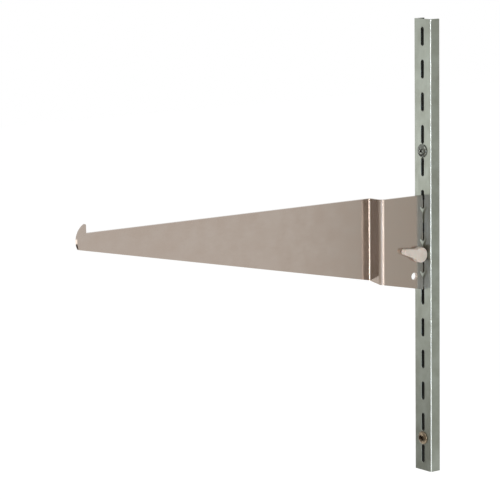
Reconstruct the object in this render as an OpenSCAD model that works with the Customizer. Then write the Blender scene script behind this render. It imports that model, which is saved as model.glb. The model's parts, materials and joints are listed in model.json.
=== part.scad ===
// Slotted upright with a shelf bracket blade hooked into it and locked by a nylon cam lever.
// X runs along the shelf, from its front edge towards the wall. Y runs along the wall. Z is up.
// The origin is on the wall plane, midway between the two wall screws.

/* [Upright] */
// Number of slots in the upright
slot_count = 14; // [12:1:24]
// Distance from one slot to the next
slot_pitch = 25.4; // [23:0.1:32]
// Length of a slot from end to end
slot_length = 14.3; // [13.6:0.1:15]
// Width of a slot
slot_width = 3; // [2.7:0.1:3.6]
// Rounded-over rim that the punch leaves round each slot
slot_rim = 0.4; // [0.2:0.1:0.6]
// Metal beyond the first and the last slot
end_margin = 6.4; // [4:0.1:12]
// Width of the upright along the wall
upright_width = 19; // [17:0.5:24]
// Depth of the upright from the wall to its slotted face
upright_depth = 9.2; // [8.6:0.1:12]
// Wall thickness of the upright
upright_wall = 1.5; // [1.2:0.1:1.7]
// Outside radius of the upright's two long corners
upright_corner = 1.9; // [1.8:0.1:3]

/* [Wall screws] */
// Web that the upper screw passes through, counted from the top
upper_screw_web = 4; // [1:1:4]
// Length of each screw below its head
screw_length = 16; // [12:0.5:20]
// Diameter of the screw shank over its thread
screw_d = 4.8; // [4:0.1:5]
// Diameter of the plain neck under the head
neck_d = 4.2; // [3:0.1:4.6]
// Length of the plain neck under the head
neck_length = 2.4; // [2:0.1:3]
// Diameter of the pan head
screw_head_d = 10.4; // [9:0.1:10.8]
// Height of the pan head
screw_head_h = 2.8; // [2.4:0.1:3.4]
// Length of the screw's point
screw_point = 5; // [4:0.5:7]
// Room round the shank in the upright's hole
screw_play = 0.3; // [0.1:0.1:0.4]
// Width of one arm of the cross recess
recess_arm = 1.3; // [1:0.1:1.5]
// Tip to tip length of the cross recess
recess_span = 5.6; // [4.6:0.1:6]
// Depth of the cross recess
recess_depth = 1.7; // [1.2:0.1:1.9]

/* [Bracket blade] */
// Thickness of the blade's sheet steel
sheet = 2.3; // [2:0.1:2.5]
// Slot that takes the top hook, counted from the top
first_hook_slot = 6; // [6:1:7]
// Number of hooks
hook_count = 3; // [2:1:4]
// Depth of shelf from the slotted face to the inside of the nose
shelf_depth = 305.6; // [200:0.1:400]
// Rise of the top edge above the lower end of the top hook's slot
top_rise = 10.6; // [9.5:0.1:11.5]
// Drop of the lower corner below the lower end of the bottom hook's slot
bottom_drop = 13.3; // [12:0.1:15]
// Depth of the blade from its top edge at the nose
nose_depth = 12.8; // [9:0.1:16]
// Height of the nose above the top edge
nose_height = 6.9; // [3:0.1:8]
// Radius of the nose's outer curve
nose_radius = 13.8; // [12:0.1:18]
// Distance from the inside of the nose to the tip
nose_reach = 7.8; // [6:0.1:9]
// How far the sharp top of the nose is cut back on its inside
nose_blunt = 0.9; // [0.3:0.1:1]
// Sideways offset between the blade's rear part and its front part
offset_y = 12.7; // [8:0.1:16]
// Distance from the slotted face to where the offset begins
offset_start = 39.4; // [34:0.1:60]
// Angle of the offset's web to the blade
offset_angle = 84; // [60:1:88]
// Inside radius of the offset's two bends
bend_radius = 1.25; // [0.8:0.05:2.5]

/* [Hooks] */
// Gap between the rear edge and the slotted face at the top
edge_gap_top = 1.1; // [0.3:0.1:1.4]
// Gap between the rear edge and the slotted face at the bottom
edge_gap_bottom = 0.3; // [0.1:0.1:0.8]
// Height of the neck that passes through the slot
neck_height = 6.4; // [5.5:0.1:6.8]
// Length of the hook's tongue below its neck
tongue_drop = 6; // [4:0.1:6.5]
// Depth of the tongue behind the slotted web
tongue_depth = 4; // [3:0.1:4.6]
// Clearance between the tongue and the back of the slotted web
tongue_play = 0.2; // [0.1:0.1:0.4]
// Depth of the relief notch under each hook
notch_depth = 3.8; // [2:0.1:5]
// Height of the notch's roof above the slot's lower end
notch_roof = 1.6; // [1:0.1:2.4]
// Drop of the notch's foot below the slot's lower end
notch_foot = 5; // [3:0.1:6.5]
// Radius at the bottom of the notch
notch_round = 0.4; // [0.2:0.1:0.5]
// Diameter of the small hole near the lower corner
tie_hole_d = 5.8; // [4:0.1:6.4]
// Distance of the small hole from the slotted face
tie_hole_setback = 9.6; // [8:0.1:14]
// Drop of the small hole below the lower end of the bottom hook's slot
tie_hole_drop = 1.8; // [0:0.1:4]

/* [Cam lever] */
// Height of the cam above the lower end of the bottom hook's slot
cam_rise = 15.3; // [14.5:0.1:17]
// Radius of the cam disc
cam_radius = 5.9; // [5:0.1:6.5]
// Distance of the disc's centre from its pivot
cam_throw = 0.8; // [0.4:0.1:1.2]
// Gap between the cam and the slotted face
cam_gap = 0.3; // [0.3:0.1:0.8]
// Thickness of the lever
lever_t = 4.8; // [4:0.1:6]
// How much lower the tail's face lies than the disc's
tail_drop = 0.15; // [0.05:0.05:0.3]
// Distance from the disc's centre to the centre of the tail's round end
tail_reach = 14.9; // [12:0.1:20]
// Radius of the tail's round end
tail_tip = 2.4; // [1.8:0.1:3.2]
// Radius of the circle round the disc's centre that the tail's sides touch
tail_root = 4.5; // [3.6:0.1:4.8]
// Upward tilt of the tail
tail_tilt = 14.2; // [0:0.1:25]
// Gap between the lever and the blade
lever_gap = 0.3; // [0.3:0.1:0.6]
// Diameter of the snap pin that the lever turns on
pin_d = 5; // [4:0.1:6]
// Radial running clearance of the pin in the blade
pin_play = 0.05; // [0.03:0.01:0.1]
// How far the pin's barb stands out past the pin
barb_out = 0.5; // [0.3:0.1:0.7]
// Length of the barb's tapered nose
barb_nose = 1.6; // [1:0.1:2.4]
// Width of the slit between the pin's two prongs
pin_slit = 1; // [0.8:0.1:1.4]
// Bevel along the lever's outer edge
lever_bevel = 0.4; // [0.2:0.1:0.8]

/* [Hidden] */

steel_fn = 96;
moulded_fn = 48;
cut = 1;
face_x = -upright_depth;
slot_r = slot_width / 2;
web = slot_pitch - slot_length;
lower_screw_web = slot_count - 1;
screw_spacing = (lower_screw_web - upper_screw_web) * slot_pitch;
upright_h = (slot_count - 1) * slot_pitch + slot_length + 2 * end_margin;

// Height of the lower end of slot i, counted from the top
function slot_bottom(i) = screw_spacing / 2 + web / 2 - (i - upper_screw_web) * slot_pitch;
upright_z0 = slot_bottom(slot_count) - end_margin;

// Height that the blade's two edges stand above the lower end of a round-ended slot
seat_rise = slot_r - sqrt(slot_r * slot_r - sheet * sheet / 4);
last_hook_slot = first_hook_slot + hook_count - 1;
last_bottom = slot_bottom(last_hook_slot);
top_z = slot_bottom(first_hook_slot) + top_rise;
heel_z = last_bottom - bottom_drop;

// The offset, followed along the middle of the sheet
mid_r = bend_radius + sheet / 2;
offset_web = (offset_y - 2 * mid_r * (1 - cos(offset_angle))) / sin(offset_angle);
offset_x = 2 * mid_r * sin(offset_angle) + offset_web * cos(offset_angle);
bend_arc = mid_r * offset_angle * PI / 180;
offset_end = offset_start + offset_x;
blank_extra = 2 * bend_arc + offset_web - offset_x;
taper = (top_z - heel_z - nose_depth) / (shelf_depth + blank_extra);
bend_steps = 12;
cutter_steps = 4;

nose_cx = nose_radius - nose_reach - shelf_depth;
nose_cz = top_z + nose_height - sqrt(pow(nose_radius, 2) - pow(nose_radius - nose_reach, 2));

// The cam's places
disc_x = -cam_gap - cam_radius;
pivot_x = disc_x - cam_throw;
pivot_z = last_bottom + cam_rise;
lever_y = -sheet / 2 - lever_gap;

// Prism along Y over a flat shape drawn in X and Z
module across(y0, y1) {
    translate([0, y1, 0])
        rotate([90, 0, 0])
            linear_extrude(height = y1 - y0)
                children();
}

// Cylinder that runs along Y from y0 to y1
module y_cylinder(x, z, r, y0, y1) {
    translate([x, y0, z])
        rotate([-90, 0, 0])
            cylinder(h = y1 - y0, r = r, $fn = steel_fn);
}

// Section of the channel's outside or inside, open towards the wall
module channel_section(depth, width, r) {
    square_y = width / 2 - r;
    translate([r, -width / 2])
        square([depth - r, width]);
    translate([0, -square_y])
        square([depth, 2 * square_y]);
    for (side = [-1, 1])
        translate([r, side * square_y])
            circle(r = r, $fn = steel_fn);
}

// One slot through the web, standing on its lower end, with a broken rim on the face
module slot_cut() {
    reach = upright_wall + 2 * cut;
    rim_r = slot_r + slot_rim;
    for (z = [slot_r, slot_length - slot_r]) {
        translate([-cut, 0, z])
            rotate([0, 90, 0])
                cylinder(h = reach, r = slot_r, $fn = steel_fn);
        translate([0, 0, z])
            rotate([0, 90, 0])
                cylinder(h = slot_rim, r1 = rim_r, r2 = slot_r, $fn = steel_fn);
    }
    translate([-cut, -slot_r, slot_r])
        cube([reach, slot_width, slot_length - slot_width]);
    translate([0, 0, slot_r])
        linear_extrude(height = slot_length - slot_width)
            polygon([[0, -rim_r], [slot_rim, -slot_r], [slot_rim, slot_r], [0, rim_r]]);
}

module upright() {
    color("#a3a9a1")
    difference() {
        translate([face_x, 0, upright_z0])
            linear_extrude(height = upright_h)
                difference() {
                    channel_section(upright_depth, upright_width, upright_corner);
                    translate([upright_wall, 0])
                        channel_section(
                            upright_depth,
                            upright_width - 2 * upright_wall,
                            upright_corner - upright_wall
                        );
                }
        for (i = [1 : slot_count])
            translate([face_x, 0, slot_bottom(i)])
                slot_cut();
        for (side = [-1, 1])
            translate([face_x - cut, 0, side * screw_spacing / 2])
                rotate([0, 90, 0])
                    cylinder(h = upright_wall + 2 * cut, r = screw_d / 2 + screw_play, $fn = steel_fn);
    }
}

// Stations along the sheet: place in plan, direction of travel and length of sheet used so far
function on_rear_bend(a) = [
    -offset_start - mid_r * sin(a), mid_r * (1 - cos(a)), 180 - a, offset_start + mid_r * a * PI / 180
];
function on_front_bend(a) = [
    -offset_end + mid_r * sin(a), offset_y - mid_r * (1 - cos(a)), 180 - a,
    offset_end + blank_extra - mid_r * a * PI / 180
];
function on_rear_edge(x) = [x, 0, 180, -x];
function on_front_edge(x) = [x, offset_y, 180, blank_extra - x];

// Point in plan that lies d to the left of a station
function beside(s, d) = [s[0] - d * sin(s[2]), s[1] + d * cos(s[2])];

// The bent sheet in plan, with the slotted face at x = 0
module sheet_plan() {
    stations = concat(
        [on_rear_edge(upright_wall + tongue_play + tongue_depth)],
        [for (i = [0 : bend_steps]) on_rear_bend(offset_angle * i / bend_steps)],
        [for (i = [bend_steps : -1 : 0]) on_front_bend(offset_angle * i / bend_steps)],
        [on_front_edge(-shelf_depth - nose_reach - cut)]
    );
    polygon(concat(
        [for (s = stations) beside(s, sheet / 2)],
        [for (i = [len(stations) - 1 : -1 : 0]) beside(stations[i], -sheet / 2)]
    ));
}

// Everything under the lower edge, which is cut straight in the flat blank before it is bent
module under_blank() {
    low = heel_z - slot_pitch;
    half = 0.8 * sheet;
    stations = concat(
        [on_rear_edge(upright_depth)],
        [for (i = [0.5 : cutter_steps]) on_rear_bend(offset_angle * i / cutter_steps)],
        [for (i = [cutter_steps - 0.5 : -1 : 0]) on_front_bend(offset_angle * i / cutter_steps)],
        [on_front_edge(-2 * shelf_depth)]
    );
    n = len(stations);
    rails = [for (s = stations)
        let (edge_z = heel_z + taper * s[3], a = beside(s, -half), b = beside(s, half))
        each [[a.x, a.y, edge_z], [b.x, b.y, edge_z], [b.x, b.y, low], [a.x, a.y, low]]];
    sides = [for (i = [0 : n - 2], k = [0 : 3])
        let (a = 4 * i + k, b = 4 * i + (k + 1) % 4)
        each [[a, b, b + 4], [a, b + 4, a + 4]]];
    last = 4 * (n - 1);
    polyhedron(rails, concat([[0, 3, 2, 1]], sides, [[last, last + 1, last + 2, last + 3]]));
}

// The blade's side view in front of the slotted face, down to below its lower edge
module side_view() {
    low = heel_z - cut;
    nose_x = -shelf_depth;
    nose_top = top_z + nose_height;
    polygon([
        [-edge_gap_bottom, low],
        [-edge_gap_top, top_z],
        [nose_x, top_z],
        [nose_x, low]
    ]);
    difference() {
        intersection() {
            translate([nose_cx, nose_cz])
                circle(r = nose_radius, $fn = 2 * steel_fn);
            translate([nose_x - nose_reach - cut, low])
                square([nose_reach + 2 * cut, top_z - low + 2 * nose_height]);
        }
        translate([nose_x, top_z])
            square([2 * cut, 2 * nose_height]);
        polygon([
            [nose_x + cut, nose_top - nose_blunt - cut],
            [nose_x - nose_height, nose_top - nose_blunt + nose_height],
            [nose_x + cut, nose_top + nose_height]
        ]);
    }
}

// Hook seated in slot i
module hook_view(i) {
    seat = slot_bottom(i) + seat_rise;
    tongue_x = upright_wall + tongue_play;
    tip_cut = tongue_depth * 0.4;
    translate([-notch_depth, seat])
        square([notch_depth + tongue_x + cut, neck_height]);
    polygon([
        [tongue_x, seat - tongue_drop],
        [tongue_x + tongue_depth - tip_cut, seat - tongue_drop],
        [tongue_x + tongue_depth, seat - tongue_drop + 2 * tip_cut],
        [tongue_x + tongue_depth, seat + neck_height - tip_cut],
        [tongue_x + tongue_depth - tip_cut, seat + neck_height],
        [tongue_x, seat + neck_height]
    ]);
}

// Relief notch under the hook in slot i
module notch_view(i) {
    z = slot_bottom(i);
    polygon([
        [0, z + seat_rise],
        [-notch_depth + notch_round, z + notch_roof],
        [-notch_depth, z + notch_roof - 2 * notch_round],
        [0, z - notch_foot]
    ]);
}

module bracket_blade() {
    color("#a49a8f")
    translate([face_x, 0, 0])
        difference() {
            intersection() {
                translate([0, 0, heel_z - cut])
                    linear_extrude(height = top_z - heel_z + nose_height + 2 * cut)
                        sheet_plan();
                across(-2 * sheet, offset_y + 2 * sheet)
                    difference() {
                        union() {
                            side_view();
                            for (i = [first_hook_slot : last_hook_slot])
                                hook_view(i);
                        }
                        for (i = [first_hook_slot : last_hook_slot])
                            notch_view(i);
                    }
            }
            under_blank();
            y_cylinder(pivot_x, pivot_z, pin_d / 2 + pin_play, -sheet, sheet);
            y_cylinder(-tie_hole_setback, last_bottom - tie_hole_drop, tie_hole_d / 2, -sheet, sheet);
        }
}

// A disc with a bevelled outer edge
module bevelled_disc(r, h) {
    cylinder(h = h - lever_bevel, r = r);
    translate([0, 0, h - lever_bevel])
        cylinder(h = lever_bevel, r1 = r, r2 = r - lever_bevel);
}

// The tail, with sides that touch a wide circle at the disc and a small one at the tip
module tail() {
    hull()
        for (end = [[0, tail_root], [tail_reach, tail_tip]])
            translate([end[0], 0, 0])
                bevelled_disc(end[1], lever_t - tail_drop, $fn = moulded_fn);
}

// Two springy prongs that snap through the blade
module snap_pin() {
    pin_r = pin_d / 2;
    barb_at = sheet + 2 * lever_gap;
    length = barb_at + barb_out + barb_nose;
    difference() {
        union() {
            cylinder(h = barb_at + barb_out, r = pin_r, $fn = steel_fn);
            translate([0, 0, barb_at])
                cylinder(h = barb_out, r1 = pin_r, r2 = pin_r + barb_out, $fn = steel_fn);
            translate([0, 0, barb_at + barb_out])
                cylinder(h = barb_nose, r1 = pin_r + barb_out, r2 = pin_r - barb_out, $fn = steel_fn);
        }
        translate([-pin_slit / 2, -2 * pin_r, lever_gap])
            cube([pin_slit, 4 * pin_r, length]);
    }
}

module cam_lever() {
    color("#c9beb2")
    translate([face_x, lever_y, 0]) {
        translate([disc_x, 0, pivot_z])
            rotate([90, 0, 0]) {
                bevelled_disc(cam_radius, lever_t, $fn = steel_fn);
                rotate(180 - tail_tilt)
                    tail();
            }
        translate([pivot_x, 0, pivot_z])
            rotate([-90, 0, 0])
                snap_pin();
    }
}

// Pan head screw, head against the slotted face, point in the wall
module wall_screw(z) {
    head_r = screw_head_d / 2;
    rim_h = screw_head_h * 0.45;
    crown_h = screw_head_h - rim_h;
    crown_r = (head_r * head_r + crown_h * crown_h) / (2 * crown_h);
    color("#6d6a62")
    translate([face_x, 0, z])
        rotate([0, 90, 0])
            difference() {
                union() {
                    translate([0, 0, -rim_h])
                        cylinder(h = rim_h, r = head_r, $fn = steel_fn);
                    intersection() {
                        translate([0, 0, crown_r - screw_head_h])
                            sphere(r = crown_r, $fn = steel_fn);
                        translate([0, 0, -screw_head_h])
                            cylinder(h = crown_h, r = head_r, $fn = steel_fn);
                    }
                    cylinder(h = neck_length, r = neck_d / 2, $fn = steel_fn);
                    translate([0, 0, neck_length])
                        cylinder(h = screw_length - screw_point - neck_length, r = screw_d / 2, $fn = steel_fn);
                    translate([0, 0, screw_length - screw_point])
                        cylinder(h = screw_point, r1 = screw_d / 2, r2 = screw_d / 10, $fn = steel_fn);
                }
                for (turn = [45, 135])
                    rotate(turn)
                        translate([-recess_span / 2, -recess_arm / 2, -screw_head_h - cut])
                            cube([recess_span, recess_arm, recess_depth + cut]);
            }
}

module upper_screw() {
    wall_screw(screw_spacing / 2);
}

module lower_screw() {
    wall_screw(-screw_spacing / 2);
}

upright();
bracket_blade();
cam_lever();
upper_screw();
lower_screw();
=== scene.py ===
"""Looks of a slotted upright with a shelf bracket blade, its nylon cam lever and its two wall screws."""

import json
import math

import bpy
from mathutils import Matrix, Vector

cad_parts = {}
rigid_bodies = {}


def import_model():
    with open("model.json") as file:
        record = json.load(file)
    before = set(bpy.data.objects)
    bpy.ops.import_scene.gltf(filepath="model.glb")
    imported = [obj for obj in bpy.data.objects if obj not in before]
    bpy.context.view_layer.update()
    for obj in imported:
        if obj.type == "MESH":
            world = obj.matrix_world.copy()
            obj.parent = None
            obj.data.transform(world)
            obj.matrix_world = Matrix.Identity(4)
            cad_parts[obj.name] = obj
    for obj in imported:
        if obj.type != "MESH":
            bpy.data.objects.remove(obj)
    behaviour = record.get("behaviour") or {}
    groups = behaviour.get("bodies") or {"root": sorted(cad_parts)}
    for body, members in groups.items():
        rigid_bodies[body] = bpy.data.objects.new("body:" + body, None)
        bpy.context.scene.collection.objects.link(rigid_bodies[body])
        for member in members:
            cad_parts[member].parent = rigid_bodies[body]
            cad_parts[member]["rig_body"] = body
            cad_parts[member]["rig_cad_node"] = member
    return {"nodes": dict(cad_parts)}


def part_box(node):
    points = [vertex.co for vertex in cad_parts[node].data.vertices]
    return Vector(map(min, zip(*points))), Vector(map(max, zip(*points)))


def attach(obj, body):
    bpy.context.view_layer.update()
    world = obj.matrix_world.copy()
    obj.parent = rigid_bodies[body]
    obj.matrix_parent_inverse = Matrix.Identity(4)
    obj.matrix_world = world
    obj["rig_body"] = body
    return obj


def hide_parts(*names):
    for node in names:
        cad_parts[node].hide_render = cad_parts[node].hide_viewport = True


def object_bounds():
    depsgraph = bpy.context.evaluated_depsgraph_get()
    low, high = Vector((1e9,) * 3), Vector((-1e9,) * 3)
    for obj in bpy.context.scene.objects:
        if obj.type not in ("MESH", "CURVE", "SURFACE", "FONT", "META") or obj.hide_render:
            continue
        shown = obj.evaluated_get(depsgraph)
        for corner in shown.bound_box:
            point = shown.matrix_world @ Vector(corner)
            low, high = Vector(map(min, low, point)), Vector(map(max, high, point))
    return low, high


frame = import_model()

bl_info = {
    "name": "Slotted upright and shelf bracket",
    "version": (1, 0, 0),
    "blender": (4, 5, 0),
    "location": "3D View > Sidebar > Shelf Bracket",
    "description": "Builds the finished pieces, materials and studio of a slotted upright with a bracket blade",
    "category": "Object",
}

CAD_BOX = [list(corner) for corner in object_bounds()]
MM = 0.001
# Outside radius of the upright's two long corners in the CAD
CAD_CORNER = 1.9 * MM
# Points closer than this, in metres, are merged
MERGE = 0.5e-6
# The upright's zinc where shade is painted: just behind the web and just inside the flanges, the web's own
# thickness, a slot's sides
BEHIND_WEB, INSIDE_FLANGE = -7.62 * MM, 8.08 * MM
WEB_FRONT, WEB_BACK = -9.02 * MM, -7.78 * MM
SLOT_SIDE = 1.72 * MM
# Twice the distance from the middle plus that from the wall, where the painted highlight on the long corners begins
# and is full
HIGHLIGHT_START, HIGHLIGHT_FULL = 27.2 * MM, 27.5 * MM
# The blade's offset: its two ends along X, its middle, and how far from that middle the bends begin
OFFSET_FRONT, OFFSET_REAR = -53.6 * MM, -48.6 * MM
OFFSET_MIDDLE, BEND_START = 6.35 * MM, 4.1 * MM
# The screws' thread, point and cross recess
THREAD_CREST, POINT_LENGTH = 2.4 * MM, 5.0 * MM
RECESS_SPAN, RECESS_ARM, RECESS_DEPTH = 6.0 * MM, 1.4 * MM, 1.6 * MM


def linear(code):
    """A colour written as #rrggbb in sRGB, as linear red, green, blue and alpha."""
    parts = [int(code[i : i + 2], 16) / 255 for i in (1, 3, 5)]
    return tuple(c / 12.92 if c <= 0.04045 else ((c + 0.055) / 1.055) ** 2.4 for c in parts) + (1.0,)


def rgb(code):
    """The same colour without its alpha, for a colour property."""
    return linear(code)[:3]


def per_mm(size):
    """Noise scale, on Object coordinates in metres, at which a pattern repeats about every size mm."""
    return 1.0 / (size * MM)


class UprightSettings(bpy.types.PropertyGroup):
    light_zinc: bpy.props.FloatVectorProperty(
        name="Zinc", description="Zinc plate where it is bright", subtype="COLOR", default=rgb("#989d94"))
    dull_zinc: bpy.props.FloatVectorProperty(
        name="Dull zinc", description="Zinc plate where it has gone dull", subtype="COLOR", default=rgb("#8b8f85"))
    # Painted highlight: a bright colour along the two long corners
    painted_highlight_zinc: bpy.props.FloatVectorProperty(
        name="Worn zinc", description="Zinc rubbed bright along the two long corners", subtype="COLOR",
        default=rgb("#d3d8d3"))
    # Painted shade: a near-black colour inside the flanges and on the slots' punched walls
    painted_shade_inside: bpy.props.FloatVectorProperty(
        name="Inside", description="Thinly plated steel inside the flanges", subtype="COLOR", default=rgb("#191918"))
    roughness: bpy.props.FloatProperty(
        name="Roughness", description="Roughness of the zinc plate", default=0.34, min=0.0, max=1.0)
    line_width: bpy.props.FloatProperty(
        name="Rolling lines", description="Distance between rolling lines in millimetres", default=0.9, min=0.1)
    corner: bpy.props.FloatProperty(
        name="Corner", description="Outside radius of the two long corners", subtype="DISTANCE", unit="LENGTH",
        default=0.7 * MM, min=0.3 * MM)


class BladeSettings(bpy.types.PropertyGroup):
    light_nickel: bpy.props.FloatVectorProperty(
        name="Nickel", description="Satin nickel where it is bright", subtype="COLOR", default=rgb("#b1a59b"))
    warm_nickel: bpy.props.FloatVectorProperty(
        name="Warm nickel", description="Satin nickel where it is duller and warmer", subtype="COLOR",
        default=rgb("#aea095"))
    roughness: bpy.props.FloatProperty(
        name="Roughness", description="Roughness of the satin nickel", default=0.16, min=0.0, max=1.0)
    strain: bpy.props.FloatProperty(
        name="Strain", description="Roughness that bending adds along the two bends", default=0.22, min=0.0, max=1.0)
    edge_round: bpy.props.FloatProperty(
        name="Edge rounding", description="Rounding of the blanked edges", subtype="DISTANCE", unit="LENGTH",
        default=0.22 * MM, min=0.0)


class LeverSettings(bpy.types.PropertyGroup):
    nylon: bpy.props.FloatVectorProperty(
        name="Nylon", description="Cream nylon of the lever", subtype="COLOR", default=rgb("#b6ada4"))
    aged_nylon: bpy.props.FloatVectorProperty(
        name="Aged nylon", description="Nylon where it has yellowed", subtype="COLOR", default=rgb("#b0a59a"))
    edge_round: bpy.props.FloatProperty(
        name="Edge rounding", description="Rounding of the moulded edges", subtype="DISTANCE", unit="LENGTH",
        default=0.25 * MM, min=0.0)


class ScrewSettings(bpy.types.PropertyGroup):
    upper_head: bpy.props.FloatVectorProperty(
        name="Upper screw", description="Plating of the upper screw", subtype="COLOR", default=rgb("#83867f"))
    lower_head: bpy.props.FloatVectorProperty(
        name="Lower screw", description="Plating of the lower screw, which has browned", subtype="COLOR",
        default=rgb("#8a7c68"))
    dome: bpy.props.FloatProperty(
        name="Dome", description="Share of the head's room that its low dome fills", default=0.6, min=0.2, max=1.0)
    core_radius: bpy.props.FloatProperty(
        name="Core radius", description="Radius of the shank at the root of its thread", subtype="DISTANCE",
        unit="LENGTH", default=1.7 * MM, min=0.5 * MM)
    pitch: bpy.props.FloatProperty(
        name="Thread pitch", description="Distance from one turn of the thread to the next", subtype="DISTANCE",
        unit="LENGTH", default=1.8 * MM, min=0.5 * MM)
    plain_shank: bpy.props.FloatProperty(
        name="Plain shank", description="Length under the head that has no thread", subtype="DISTANCE",
        unit="LENGTH", default=2.4 * MM, min=0.0)


class StageSettings(bpy.types.PropertyGroup):
    target: bpy.props.FloatVectorProperty(
        name="Target", description="Point that the camera looks at", subtype="TRANSLATION", unit="LENGTH",
        default=(-0.17799, 0.0, 0.05427))
    azimuth: bpy.props.FloatProperty(
        name="Azimuth", description="Turn of the camera round the part", subtype="ANGLE",
        default=math.radians(-36.876))
    elevation: bpy.props.FloatProperty(
        name="Elevation", description="Height of the camera above the horizon", subtype="ANGLE",
        default=math.radians(9.1607))
    roll: bpy.props.FloatProperty(
        name="Roll", description="Turn of the camera about its own line of sight", subtype="ANGLE",
        default=math.radians(-0.7599))
    distance: bpy.props.FloatProperty(
        name="Distance", description="Distance of the camera from its target", subtype="DISTANCE", unit="LENGTH",
        default=1.88247)
    lens: bpy.props.FloatProperty(
        name="Lens", description="Focal length in millimetres on a 36 mm sensor", default=182.77)
    floor_drop: bpy.props.FloatProperty(
        name="Floor drop", description="Height of the upright's lower end above the floor", subtype="DISTANCE",
        unit="LENGTH", default=0.6)
    room_level: bpy.props.FloatProperty(
        name="Room light", description="Strength of the light from the room on dull surfaces", default=0.8)


def add(tree, kind, inputs=None, **settings):
    """Adds a node, gives it its settings, and fills its inputs with values or links from other sockets."""
    made = tree.nodes.new(kind)
    for name, value in settings.items():
        setattr(made, name, value)
    for key, value in (inputs or {}).items():
        if isinstance(value, bpy.types.NodeSocket):
            tree.links.new(value, made.inputs[key])
        else:
            made.inputs[key].default_value = value
    return made


def new_material(name):
    """An empty node material with its tree."""
    material = bpy.data.materials.new(name)
    material.use_nodes = True
    material.node_tree.nodes.clear()
    return material, material.node_tree


def solid_colour(value):
    return tuple(value) + (1.0,)


def blend(tree, factor, a, b):
    """Mixes two colours by a factor, each one a value or a socket."""
    mixed = add(tree, "ShaderNodeMix", {0: factor, 6: a, 7: b}, data_type="RGBA")
    return mixed.outputs[2]


def maths(tree, operation, a, b=None):
    inputs = {0: a} if b is None else {0: a, 1: b}
    return add(tree, "ShaderNodeMath", inputs, operation=operation).outputs[0]


def spread(tree, factor, low, high):
    """Maps a noise's middle range onto low to high."""
    return add(
        tree, "ShaderNodeMapRange",
        {"Value": factor, "From Min": 0.35, "From Max": 0.65, "To Min": low, "To Max": high},
    ).outputs[0]


def noise(tree, vector, size, detail=2.0, rough=0.5):
    return add(
        tree, "ShaderNodeTexNoise",
        {"Vector": vector, "Scale": per_mm(size), "Detail": detail, "Roughness": rough},
    ).outputs[0]


def metal_output(tree, colour, roughness, normal):
    shader = add(
        tree, "ShaderNodeBsdfPrincipled",
        {"Base Color": colour, "Metallic": 1.0, "Roughness": roughness, "Normal": normal},
    )
    add(tree, "ShaderNodeOutputMaterial", {"Surface": shader.outputs[0]})


def zinc_plate(settings):
    """Roll-formed strip, electroplated with zinc: a grey-green half mirror with fine lines along the roll."""
    material, tree = new_material("zinc_plated_strip")
    place = add(tree, "ShaderNodeTexCoord").outputs["Object"]
    # The rolling lines run up the upright, so the pattern is drawn out twentyfold along Z
    drawn = add(tree, "ShaderNodeMapping", {"Vector": place, "Scale": (1.0, 1.0, 0.05)}).outputs[0]
    lines = noise(tree, drawn, settings.line_width, 3.0, 0.6)
    clouds = noise(tree, place, 14.0, 3.0, 0.55)
    face = blend(tree, spread(tree, clouds, 0.0, 1.0), solid_colour(settings.light_zinc),
                 solid_colour(settings.dull_zinc))
    # Painted shade: a near-black colour on the inside of the channel's two flanges and on the punched walls of the
    # slots
    axes = add(tree, "ShaderNodeSeparateXYZ", {0: place})
    across = maths(tree, "ABSOLUTE", axes.outputs[1])
    within = maths(tree, "MULTIPLY", maths(tree, "GREATER_THAN", axes.outputs[0], BEHIND_WEB),
                   maths(tree, "LESS_THAN", across, INSIDE_FLANGE))
    in_web = maths(tree, "MULTIPLY", maths(tree, "GREATER_THAN", axes.outputs[0], WEB_FRONT),
                   maths(tree, "LESS_THAN", axes.outputs[0], WEB_BACK))
    punched = maths(tree, "MULTIPLY", in_web, maths(tree, "LESS_THAN", across, SLOT_SIDE))
    painted_shade_mask = maths(tree, "MAXIMUM", within, punched)
    # Painted highlight: the two long corners are coloured bright, most of all on the side that faces along the wall
    outward = maths(tree, "SUBTRACT", maths(tree, "MULTIPLY", across, 2.0), axes.outputs[0])
    corner = add(
        tree, "ShaderNodeMapRange",
        {"Value": outward, "From Min": HIGHLIGHT_START, "From Max": HIGHLIGHT_FULL},
    ).outputs[0]
    plated = blend(tree, corner, face, solid_colour(settings.painted_highlight_zinc))
    colour = blend(tree, painted_shade_mask, plated, solid_colour(settings.painted_shade_inside))
    roughness = maths(tree, "ADD", spread(tree, lines, -0.04, 0.04),
                      maths(tree, "ADD", settings.roughness, maths(tree, "MULTIPLY", painted_shade_mask, 0.2)))
    bump = add(tree, "ShaderNodeBump", {"Strength": 0.12, "Distance": 0.02 * MM, "Height": lines}).outputs[0]
    metal_output(tree, colour, roughness, bump)
    return material


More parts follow.
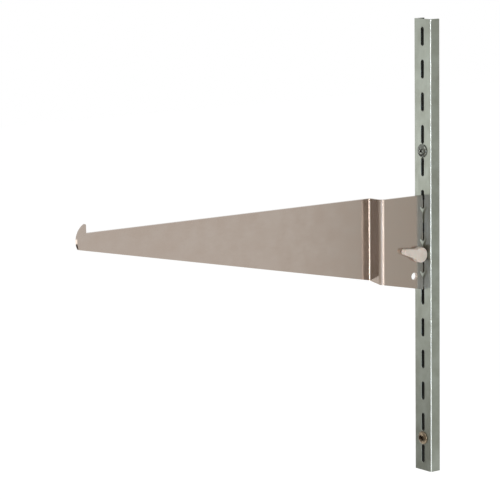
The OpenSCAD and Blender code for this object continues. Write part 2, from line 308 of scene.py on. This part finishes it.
def satin_nickel(settings):
    """Blanked steel sheet, tumbled and nickel plated: a warm satin mirror with soft cloudy tone."""
    material, tree = new_material("satin_nickel_plate")
    place = add(tree, "ShaderNodeTexCoord").outputs["Object"]
    # The sheet was rolled along the blade, so the fine pattern is drawn out along X
    drawn = add(tree, "ShaderNodeMapping", {"Vector": place, "Scale": (0.12, 1.0, 1.0)}).outputs[0]
    grain = noise(tree, drawn, 0.8, 3.0, 0.6)
    clouds = noise(tree, place, 14.0, 2.0, 0.5)
    tone = maths(tree, "ADD", maths(tree, "MULTIPLY", clouds, 0.7), maths(tree, "MULTIPLY", grain, 0.3))
    colour = blend(tree, spread(tree, tone, 0.0, 1.0), solid_colour(settings.light_nickel),
                   solid_colour(settings.warm_nickel))
    # Bending strained the surface of the two bends, which left it rougher
    axes = add(tree, "ShaderNodeSeparateXYZ", {0: place})
    in_offset = maths(tree, "MULTIPLY", maths(tree, "GREATER_THAN", axes.outputs[0], OFFSET_FRONT),
                      maths(tree, "LESS_THAN", axes.outputs[0], OFFSET_REAR))
    off_centre = maths(tree, "ABSOLUTE", maths(tree, "SUBTRACT", axes.outputs[1], OFFSET_MIDDLE))
    bends = maths(tree, "MULTIPLY", in_offset, maths(tree, "GREATER_THAN", off_centre, BEND_START))
    roughness = maths(tree, "ADD", spread(tree, tone, -0.02, 0.02),
                      maths(tree, "ADD", settings.roughness, maths(tree, "MULTIPLY", bends, settings.strain)))
    bump = add(tree, "ShaderNodeBump", {"Strength": 0.1, "Distance": 0.004 * MM, "Height": grain}).outputs[0]
    metal_output(tree, colour, roughness, bump)
    return material


def moulded_nylon(settings):
    """Injection-moulded nylon in cream: dull, slightly waxy, with a fine eroded mould grain."""
    material, tree = new_material("moulded_nylon")
    place = add(tree, "ShaderNodeTexCoord").outputs["Object"]
    grain = noise(tree, place, 0.35, 2.0, 0.6)
    clouds = noise(tree, place, 4.0, 2.0, 0.5)
    colour = blend(tree, spread(tree, clouds, 0.0, 1.0), solid_colour(settings.nylon),
                   solid_colour(settings.aged_nylon))
    bump = add(tree, "ShaderNodeBump", {"Strength": 0.2, "Distance": 0.04 * MM, "Height": grain}).outputs[0]
    shader = add(
        tree, "ShaderNodeBsdfPrincipled",
        {"Base Color": colour, "Roughness": 0.5, "IOR": 1.53, "Normal": bump,
         "Subsurface Weight": 0.15, "Subsurface Scale": 0.6 * MM},
    )
    add(tree, "ShaderNodeOutputMaterial", {"Surface": shader.outputs[0]})
    return material


def plated_screw(name, tint):
    """Cold-headed steel with a thin chromate plating that wears to brown: dark, uneven, fairly glossy."""
    material, tree = new_material(name)
    place = add(tree, "ShaderNodeTexCoord").outputs["Object"]
    stain = noise(tree, place, 2.2, 3.0, 0.6)
    dark = tuple(0.35 * c for c in tint)
    colour = blend(tree, spread(tree, stain, 0.0, 1.0), solid_colour(tint), solid_colour(dark))
    roughness = spread(tree, stain, 0.14, 0.3)
    bump = add(tree, "ShaderNodeBump", {"Strength": 0.15, "Distance": 0.03 * MM, "Height": stain}).outputs[0]
    metal_output(tree, colour, roughness, bump)
    return material


def deselect():
    if bpy.context.mode != "OBJECT":
        bpy.ops.object.mode_set(mode="OBJECT")
    bpy.ops.object.select_all(action="DESELECT")


def only(piece):
    deselect()
    piece.select_set(True)
    bpy.context.view_layer.objects.active = piece


def give(piece, material):
    piece.data.materials.clear()
    piece.data.materials.append(material)


def node_copy(node_name, name):
    """A merged copy of a CAD node, without the node's own marks and shading."""
    only(frame["nodes"][node_name])
    bpy.ops.object.duplicate()
    piece = bpy.context.active_object
    piece.parent = None
    piece.matrix_world = Matrix.Identity(4)
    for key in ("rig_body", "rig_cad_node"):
        del piece[key]
    piece.name = piece.data.name = name
    bpy.ops.object.mode_set(mode="EDIT")
    bpy.ops.mesh.select_all(action="SELECT")
    bpy.ops.mesh.remove_doubles(threshold=MERGE)
    bpy.ops.object.mode_set(mode="OBJECT")
    bpy.ops.mesh.customdata_custom_splitnormals_clear()
    return piece


def shade(piece):
    """Smooths the curved faces and keeps the flat ones flat."""
    only(piece)
    bpy.ops.object.shade_smooth_by_angle(angle=math.radians(32))
    weighted = piece.modifiers.new("flat faces", "WEIGHTED_NORMAL")
    weighted.keep_sharp = True
    bpy.ops.object.modifier_apply(modifier=weighted.name)


def finished_copy(node_name, name, round_off, segments=2):
    """A copy of a CAD node with its sharp edges rounded off, ready for a material."""
    piece = node_copy(node_name, name)
    bpy.ops.object.mode_set(mode="EDIT")
    bpy.ops.mesh.select_all(action="SELECT")
    bpy.ops.mesh.dissolve_limited(angle_limit=math.radians(0.4))
    bpy.ops.object.mode_set(mode="OBJECT")
    bevel = piece.modifiers.new("rounded edges", "BEVEL")
    bevel.width = round_off
    bevel.segments = segments
    bevel.limit_method = "ANGLE"
    bevel.angle_limit = math.radians(28)
    bevel.miter_outer = "MITER_ARC"
    bpy.ops.object.modifier_apply(modifier=bevel.name)
    shade(piece)
    return piece


def tighten_corners(upright, radius):
    """Draws the outside of the two long corners out to a smaller radius, between the same two flats."""
    low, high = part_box("upright")
    share = radius / CAD_CORNER
    for vertex in upright.data.vertices:
        side = 1.0 if vertex.co.y > 0 else -1.0
        x = vertex.co.x - (low.x + CAD_CORNER)
        y = side * vertex.co.y - (high.y - CAD_CORNER)
        if x < 1e-6 and y > -1e-6 and math.hypot(x, y) > CAD_CORNER - 0.02 * MM:
            vertex.co.x = low.x + radius + share * x
            vertex.co.y = side * (high.y - radius + share * y)


class BRACKET_OT_upright(bpy.types.Operator):
    """Tightens the slotted upright's long corners and plates it with zinc"""

    bl_idname = "bracket.upright"
    bl_label = "Upright"

    def execute(self, context):
        settings = context.scene.upright_settings
        upright = node_copy("upright", "channel_strip")
        tighten_corners(upright, settings.corner)
        shade(upright)
        give(upright, zinc_plate(settings))
        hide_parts("upright")
        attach(upright, "upright")
        return {"FINISHED"}


class BRACKET_OT_blade(bpy.types.Operator):
    """Rounds the blanked edges of the bracket blade and plates it with satin nickel"""

    bl_idname = "bracket.blade"
    bl_label = "Bracket blade"

    def execute(self, context):
        settings = context.scene.blade_settings
        blade = finished_copy("bracket_blade", "blade_sheet", settings.edge_round)
        give(blade, satin_nickel(settings))
        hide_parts("bracket_blade")
        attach(blade, "upright")
        return {"FINISHED"}


class BRACKET_OT_lever(bpy.types.Operator):
    """Softens the edges of the cam lever and makes it of cream nylon"""

    bl_idname = "bracket.lever"
    bl_label = "Cam lever"

    def execute(self, context):
        settings = context.scene.lever_settings
        lever = finished_copy("cam_lever", "lever_moulding", settings.edge_round, 3)
        give(lever, moulded_nylon(settings))
        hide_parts("cam_lever")
        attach(lever, "lever")
        return {"FINISHED"}


def lathe(name, profile, centre, vertices=64):
    """Turns a piece along +X: profile lists (radius, x) from its first end to its last, closed at both."""
    deselect()
    first_radius, first_x = profile[0]
    bpy.ops.mesh.primitive_circle_add(
        vertices=vertices, radius=first_radius, fill_type="NGON",
        location=(first_x, centre.y, centre.z), rotation=(0.0, math.radians(90), 0.0),
    )
    piece = bpy.context.active_object
    piece.name = piece.data.name = name
    bpy.ops.object.transform_apply(location=True, rotation=True, scale=True)
    bpy.ops.object.mode_set(mode="EDIT")
    bpy.ops.mesh.select_all(action="SELECT")
    radius, x = first_radius, first_x
    for next_radius, next_x in profile[1:]:
        bpy.ops.mesh.extrude_region_move(TRANSFORM_OT_translate={"value": (next_x - x, 0.0, 0.0)})
        share = next_radius / radius
        bpy.ops.transform.resize(value=(1.0, share, share), center_override=(next_x, centre.y, centre.z))
        radius, x = next_radius, next_x
    bpy.ops.mesh.select_all(action="SELECT")
    bpy.ops.mesh.remove_doubles(threshold=MERGE)
    bpy.ops.mesh.normals_make_consistent(inside=False)
    bpy.ops.object.mode_set(mode="OBJECT")
    return piece


def thread_ridge(name, centre, start, end, core, crest, pitch):
    """One helical ridge round the shank, sunk a little into the core; turned_screw fades it out on the point."""
    deselect()
    bpy.ops.mesh.primitive_circle_add(vertices=3, radius=0.3 * pitch, fill_type="NOTHING",
                                      location=(start, centre.y, centre.z + core))
    ridge = bpy.context.active_object
    ridge.name = ridge.data.name = name
    bpy.ops.object.transform_apply(location=True, rotation=True, scale=True)
    foot, sunk = 0.28 * pitch, core - 0.25 * MM
    corners = [(start - foot, sunk), (start, crest), (start + foot, sunk)]
    for vertex, (x, r) in zip(ridge.data.vertices, corners):
        vertex.co = Vector((x, centre.y, centre.z + r))
    turns = int((end - start) / pitch)
    screw = ridge.modifiers.new("thread", "SCREW")
    screw.axis = "X"
    screw.steps = screw.render_steps = 20
    screw.iterations = turns
    screw.screw_offset = pitch
    screw.use_smooth_shade = False
    pivot = bpy.data.objects.new("thread_axis", None)
    bpy.context.scene.collection.objects.link(pivot)
    pivot.location = (0.0, centre.y, centre.z)
    screw.object = pivot
    bpy.context.view_layer.update()
    bpy.ops.object.modifier_apply(modifier=screw.name)
    bpy.data.objects.remove(pivot)
    bpy.ops.object.mode_set(mode="EDIT")
    bpy.ops.mesh.select_all(action="DESELECT")
    bpy.ops.mesh.select_non_manifold()
    bpy.ops.mesh.fill_holes(sides=3)
    bpy.ops.mesh.select_all(action="SELECT")
    bpy.ops.mesh.normals_make_consistent(inside=False)
    bpy.ops.object.mode_set(mode="OBJECT")
    return ridge


def cross_cutter(centre, face, span, arm, depth):
    """Two tapered bars that cut the cross recess into a head."""
    bars = []
    for turn in (45, 135):
        deselect()
        bpy.ops.mesh.primitive_cube_add(size=1.0, location=(0.0, 0.0, 0.0))
        bar = bpy.context.active_object
        bar.dimensions = (2.0 * depth, span, arm)
        bpy.ops.object.transform_apply(location=True, rotation=True, scale=True)
        for vertex in bar.data.vertices:
            if vertex.co.x > 0:
                vertex.co.y *= 0.5
                vertex.co.z *= 0.8
        turned = Matrix.Rotation(math.radians(turn), 4, "X")
        bar.data.transform(Matrix.Translation((face, centre.y, centre.z)) @ turned)
        bars.append(bar)
    return bars


def turned_screw(node_name, name, material, settings):
    """A pan head wood screw in the place of its CAD node: domed head, cross recess, thread and point."""
    low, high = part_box(node_name)
    centre = Vector((0.0, (low.y + high.y) / 2, (low.z + high.z) / 2))
    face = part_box("upright")[0].x
    head_r, head_h = (high.y - low.y) / 2, settings.dome * (face - low.x)
    top = face - head_h
    point = POINT_LENGTH
    core = settings.core_radius
    seat = [(head_r - 0.15 * MM, face), (head_r, face - 0.15 * MM), (head_r, face - 0.25 * head_h)]
    # The crown: a low dome whose rim turns in with a smaller radius
    crown = [(head_r * math.cos(a) ** 0.75, face - head_h * (0.25 + 0.75 * math.sin(a)))
             for a in (math.radians(d) for d in (14, 28, 42, 56, 70, 82))]
    crown.append((0.35 * MM, top))
    head_profile = list(reversed(crown)) + list(reversed(seat))
    shank = [(core + 0.5 * MM, face), (core + 0.05 * MM, face + 0.7 * MM), (core, face + settings.plain_shank),
             (core, high.x - point), (0.25 * MM, high.x - 0.15 * MM), (0.08 * MM, high.x)]
    screw = lathe(name, head_profile + shank, centre)
    for bar in cross_cutter(centre, top, RECESS_SPAN, RECESS_ARM, RECESS_DEPTH):
        only(screw)
        hole = screw.modifiers.new("recess", "BOOLEAN")
        hole.object = bar
        hole.solver = "EXACT"
        bpy.ops.object.modifier_apply(modifier=hole.name)
        bpy.data.objects.remove(bar)
    ridge = thread_ridge(name + "_thread", centre, face + settings.plain_shank + settings.pitch, high.x - 1.2 * MM,
                         core, THREAD_CREST, settings.pitch)
    for vertex in ridge.data.vertices:
        past = vertex.co.x - (high.x - point)
        if past > 0:
            taper = max(0.0, 1.0 - past / point)
            vertex.co.y = centre.y + (vertex.co.y - centre.y) * taper
            vertex.co.z = centre.z + (vertex.co.z - centre.z) * taper
    only(screw)
    ridge.select_set(True)
    bpy.ops.object.join()
    bpy.ops.object.shade_smooth_by_angle(angle=math.radians(30))
    give(screw, material)
    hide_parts(node_name)
    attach(screw, "upright")


class BRACKET_OT_screws(bpy.types.Operator):
    """Turns the two pan head wall screws, with thread and cross recess"""

    bl_idname = "bracket.screws"
    bl_label = "Wall screws"

    def execute(self, context):
        settings = context.scene.screw_settings
        turned_screw("upper_screw", "upper_pan_screw", plated_screw("screw_plating", settings.upper_head), settings)
        turned_screw("lower_screw", "lower_pan_screw", plated_screw("browned_screw_plating", settings.lower_head),
                     settings)
        return {"FINISHED"}


def seen_level(tree):
    """1 for rays that show the background: to the camera, in a mirror or through glass."""
    path = add(tree, "ShaderNodeLightPath")
    return maths(tree, "MAXIMUM", path.outputs["Is Camera Ray"],
                 maths(tree, "MAXIMUM", path.outputs["Is Glossy Ray"], path.outputs["Is Transmission Ray"]))


def lamp(name, place, aim, size, size_y, power, tint="#ffffff"):
    """A soft box at a place in metres, turned to face its aim."""
    light = bpy.data.lights.new(name, "AREA")
    light.shape = "RECTANGLE"
    light.size, light.size_y = size, size_y
    light.energy = power
    light.color = rgb(tint)
    holder = bpy.data.objects.new(name, light)
    bpy.context.scene.collection.objects.link(holder)
    holder.location = place
    holder.rotation_mode = "QUATERNION"
    holder.rotation_quaternion = (Vector(aim) - Vector(place)).to_track_quat("-Z", "Y")
    return holder


def screen(name, place, aim, width, height, tint, level):
    """A plain cloth screen beside the camera that only the metal's reflections see."""
    deselect()
    bpy.ops.mesh.primitive_plane_add(size=1.0)
    made = bpy.context.active_object
    made.name = name
    turn = (Vector(aim) - Vector(place)).to_track_quat("Z", "Y").to_matrix().to_4x4()
    made.data.transform(Matrix.Translation(place) @ turn @ Matrix.Diagonal((width, height, 1.0, 1.0)))
    material, tree = new_material(name + "_cloth")
    cloth = add(tree, "ShaderNodeEmission", {"Color": linear(tint), "Strength": level})
    add(tree, "ShaderNodeOutputMaterial", {"Surface": cloth.outputs[0]})
    give(made, material)
    made.visible_camera = made.visible_diffuse = made.visible_shadow = False


class BRACKET_OT_stage(bpy.types.Operator):
    """Sets the pale floor, the white surroundings, the soft lamps and the camera"""

    bl_idname = "bracket.stage"
    bl_label = "Studio"

    def execute(self, context):
        settings = context.scene.stage_settings
        scene = context.scene
        scene.view_settings.view_transform = "Standard"

        deselect()
        bpy.ops.mesh.primitive_plane_add(size=14.0, location=(0.0, 0.0, CAD_BOX[0][2] - settings.floor_drop))
        floor = bpy.context.active_object
        floor.name = "floor"
        material, tree = new_material("pale_floor")
        paint = add(tree, "ShaderNodeBsdfDiffuse", {"Color": linear("#f4f4f4")})
        lift = add(tree, "ShaderNodeEmission", {"Strength": maths(tree, "MULTIPLY", seen_level(tree), 0.28)})
        both = add(tree, "ShaderNodeAddShader", {0: paint.outputs[0], 1: lift.outputs[0]})
        add(tree, "ShaderNodeOutputMaterial", {"Surface": both.outputs[0]})
        give(floor, material)

        world = bpy.data.worlds.new("white_room")
        world.use_nodes = True
        world.node_tree.nodes.clear()
        tree = world.node_tree
        level = add(
            tree, "ShaderNodeMapRange",
            {"Value": seen_level(tree), "To Min": settings.room_level, "To Max": 1.0},
        ).outputs[0]
        back = add(tree, "ShaderNodeBackground", {"Color": linear("#ffffff"), "Strength": level})
        add(tree, "ShaderNodeOutputWorld", {"Surface": back.outputs[0]})
        scene.world = world

        centre = (-0.1, 0.0, 0.03)
        lamp("strip_lamp", (-0.34, -1.73, -0.04), centre, 0.16, 0.7, 7.0)
        lamp("side_lamp", (-1.7, -0.3, 0.9), centre, 0.8, 0.8, 9.0)
        lamp("back_lamp", (-1.05, 1.22, -0.15), centre, 0.5, 0.4, 0.85)
        lamp("top_lamp", (-0.2, 0.5, 1.7), centre, 1.2, 1.2, 5.0)

        # The metal must not mirror this one, which only fills the shaded left side of the nylon
        fill = lamp("fill_lamp", (-1.5, -0.5, -0.5), centre, 0.8, 0.8, 14.0)
        fill.visible_glossy = False

        screen("front_screen", (1.59, -0.88, -0.2), centre, 1.6, 2.0, "#9a9a96", 1.95)
        screen("left_screen", (-1.55, -0.2, -0.25), centre, 2.2, 1.2, "#8c8880", 2.1)
        screen("near_screen", (-1.785, -1.938, -0.377), centre, 0.5, 0.7, "#c8ddff", 5.2)
        screen("dark_screen", (-1.185, -2.327, -0.377), centre, 0.5, 0.9, "#c9c6c0", 1.0)
        screen("low_screen", (-1.05, 1.15, -0.81), centre, 2.4, 1.0, "#6b5a48", 0.45)

        camera = bpy.data.cameras.new("camera")
        camera.lens = settings.lens
        camera.sensor_width = 36.0
        camera.clip_end = 50.0
        holder = bpy.data.objects.new("camera", camera)
        scene.collection.objects.link(holder)
        a, e, r = settings.azimuth, settings.elevation, settings.roll
        back_way = Vector((math.sin(a) * math.cos(e), -math.cos(a) * math.cos(e), math.sin(e)))
        right = Vector((math.cos(a), math.sin(a), 0.0))
        up = back_way.cross(right)
        turned_right = math.cos(r) * right + math.sin(r) * up
        turned_up = math.cos(r) * up - math.sin(r) * right
        turn = Matrix((turned_right, turned_up, back_way)).transposed().to_4x4()
        holder.matrix_world = Matrix.Translation(Vector(settings.target) + settings.distance * back_way) @ turn
        scene.camera = holder
        return {"FINISHED"}


class BRACKET_PT_pieces(bpy.types.Panel):
    """Lists the pieces that can be built"""

    bl_idname = "BRACKET_PT_pieces"
    bl_label = "Shelf Bracket"
    bl_space_type = "VIEW_3D"
    bl_region_type = "UI"
    bl_category = "Shelf Bracket"

    def draw(self, context):
        for operator in OPERATORS:
            self.layout.operator(operator.bl_idname, text=operator.bl_label)


SETTINGS = {
    "upright_settings": UprightSettings,
    "blade_settings": BladeSettings,
    "lever_settings": LeverSettings,
    "screw_settings": ScrewSettings,
    "stage_settings": StageSettings,
}
OPERATORS = (BRACKET_OT_upright, BRACKET_OT_blade, BRACKET_OT_lever, BRACKET_OT_screws, BRACKET_OT_stage)


def register():
    for group in SETTINGS.values():
        bpy.utils.register_class(group)
    for name, group in SETTINGS.items():
        setattr(bpy.types.Scene, name, bpy.props.PointerProperty(type=group))
    for operator in OPERATORS:
        bpy.utils.register_class(operator)
    bpy.utils.register_class(BRACKET_PT_pieces)


def unregister():
    bpy.utils.unregister_class(BRACKET_PT_pieces)
    for operator in reversed(OPERATORS):
        bpy.utils.unregister_class(operator)
    for name in SETTINGS:
        delattr(bpy.types.Scene, name)
    for group in reversed(list(SETTINGS.values())):
        bpy.utils.unregister_class(group)


def main():
    register()
    bpy.ops.bracket.upright()
    bpy.ops.bracket.blade()
    bpy.ops.bracket.lever()
    bpy.ops.bracket.screws()
    bpy.ops.bracket.stage()


if __name__ == "__main__":
    main()
